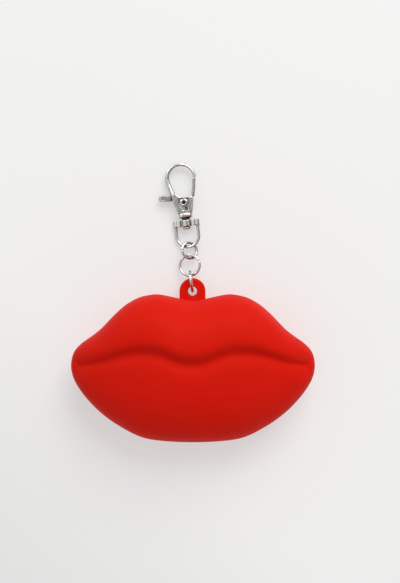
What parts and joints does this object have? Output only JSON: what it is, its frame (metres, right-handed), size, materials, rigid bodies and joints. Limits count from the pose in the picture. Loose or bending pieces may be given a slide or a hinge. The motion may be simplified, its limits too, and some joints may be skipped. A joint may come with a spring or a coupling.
{
  "type": "silicone coin purse",
  "caption": "Lips-shaped hollow silicone coin purse with a zipper recessed in its flat back and a hanging tab that carries jump rings and a swivel lobster clasp.",
  "frame": {"origin": "centre of the purse's flat back, on the plane that it lies on", "axes": "+X along the mouth to the right, +Y up the face towards the tab and chain, +Z out of the lips' front, away from the surface that the purse lies on"},
  "size_m": [0.108, 0.1253, 0.036],
  "materials": {
    "silicone": "satin moulded silicone",
    "zipper_tape": "woven polyester",
    "zipper_coil": "nylon",
    "zipper_metal": "nickel plated",
    "chain_metal": "nickel plated, polished",
    "spring_steel": "drawn wire"
  },
  "bodies": {
    "purse": {"purse_body": "silicone", "zipper_tape_upper": "zipper_tape", "zipper_tape_lower": "zipper_tape", "zipper_coil_upper": "zipper_coil", "zipper_coil_lower": "zipper_coil", "zipper_top_stop_upper": "zipper_metal", "zipper_top_stop_lower": "zipper_metal", "zipper_bottom_stop": "zipper_metal"},
    "slider": {"zipper_slider": "zipper_metal"},
    "pull": {"zipper_pull": "zipper_metal"},
    "tab_ring": {"tab_jump_ring": "chain_metal"},
    "large_ring": {"large_jump_ring": "chain_metal"},
    "small_ring": {"small_jump_ring": "chain_metal"},
    "shackle": {"swivel_shackle": "chain_metal"},
    "clasp": {"clasp_frame": "chain_metal", "clasp_rivet": "chain_metal", "gate_spring": "spring_steel"},
    "gate": {"clasp_gate": "chain_metal"}
  },
  "joints": [
    {"name": "tab_ring_turn", "type": "hinge", "parent": "purse", "child": "tab_ring", "pos_m": [-0.00093, 0.0386, 0.00515], "axis": [0.9903, 0.1392, 0], "range_deg": [-10, 95]},
    {"name": "large_ring_sway", "type": "hinge", "parent": "tab_ring", "child": "large_ring", "pos_m": [-0.00156, 0.04311, 0.00515], "axis": [0, 0, 1], "range_deg": [-35, 35]},
    {"name": "small_ring_fold", "type": "hinge", "parent": "large_ring", "child": "small_ring", "pos_m": [-0.00186, 0.05052, 0.00283], "axis": [-0.9599, -0.0822, -0.2679], "range_deg": [-45, 45]},
    {"name": "shackle_swing", "type": "hinge", "parent": "small_ring", "child": "shackle", "pos_m": [-0.00251, 0.0595, 0.0023], "axis": [0.2235, 0.0255, -0.9744], "range_deg": [-45, 45]},
    {"name": "clasp_swivel", "type": "hinge", "parent": "shackle", "child": "clasp", "pos_m": [-0.00315, 0.06507, 0.0023], "axis": [-0.1132, 0.9936, 0], "continuous": true},
    {"name": "gate_pivot", "type": "hinge", "parent": "clasp", "child": "gate", "pos_m": [-0.00421, 0.07441, 0.0023], "axis": [0, 0, 1], "range_deg": [0, 28], "stiffness_Nm_per_rad": 0.002, "springref_deg": -5.73, "deforming": ["gate_spring"]},
    {"name": "zipper_slide", "type": "slide", "parent": "purse", "child": "slider", "axis": [1, 0, 0], "range_m": [0, 0.05279], "deforming": ["zipper_coil_upper", "zipper_coil_lower"]},
    {"name": "pull_hinge", "type": "hinge", "parent": "slider", "child": "pull", "pos_m": [-0.02695, 0.00985, 0.00208], "axis": [0, 1, 0], "range_deg": [-5, 120]}
  ]
}
